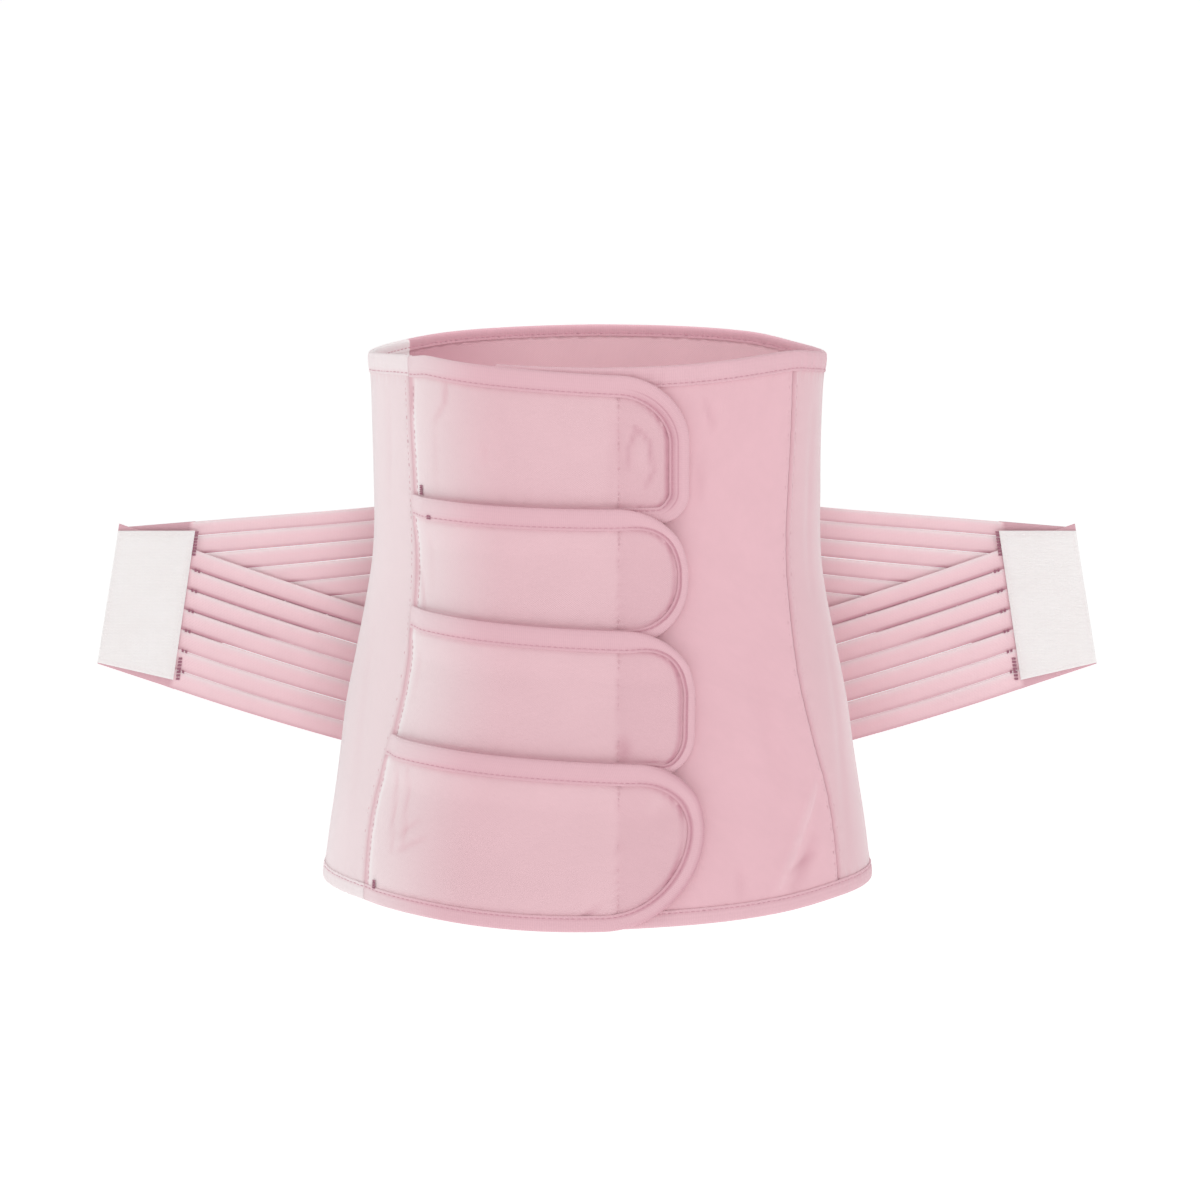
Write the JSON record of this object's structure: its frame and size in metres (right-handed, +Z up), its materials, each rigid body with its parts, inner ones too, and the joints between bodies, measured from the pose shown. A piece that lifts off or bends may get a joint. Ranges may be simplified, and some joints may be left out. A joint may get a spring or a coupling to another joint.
{
  "type": "maternity belt",
  "caption": "Flared waist-to-hip support belt: shingled front straps over a landing panel, bound edges, and a slit elastic wing on each side that ends in a hook pad.",
  "frame": {"origin": "middle of the hollow at the waist, the narrowest level, where the wearer's waist holds the belt", "axes": "+Z up towards the rim; the wearer faces -Y; +X is on the right of someone who looks at the front, which is the wearer's left"},
  "size_m": [0.611, 0.2335, 0.3362],
  "materials": {
    "panel_cloth": "matt knit",
    "loop_cloth": "matt brushed loop",
    "binding_tape": "soft satin fold-over tape",
    "band_elastic": "matt ribbed elastic",
    "hook_white": "matt hook tape"
  },
  "bodies": {
    "root": {"back_panel": "panel_cloth", "bottom_binding": "binding_tape", "landing_panel": "loop_cloth", "left_side_panel": "panel_cloth", "right_side_panel": "panel_cloth", "strap_1": "panel_cloth", "strap_1_binding": "binding_tape", "strap_1_hook_pad": "loop_cloth", "strap_2": "panel_cloth", "strap_2_binding": "binding_tape", "strap_2_hook_pad": "loop_cloth", "strap_3": "panel_cloth", "strap_3_binding": "binding_tape", "strap_3_hook_pad": "loop_cloth", "strap_4": "panel_cloth", "strap_4_binding": "binding_tape", "strap_4_hook_pad": "loop_cloth", "top_binding": "binding_tape", "wing_left_hook_pad": "hook_white", "wing_left_lower_band": "band_elastic", "wing_left_root_tape": "binding_tape", "wing_left_tab": "panel_cloth", "wing_left_upper_band": "band_elastic", "wing_right_hook_pad": "hook_white", "wing_right_lower_band": "band_elastic", "wing_right_root_tape": "binding_tape", "wing_right_tab": "panel_cloth", "wing_right_upper_band": "band_elastic"}
  },
  "joints": []
}
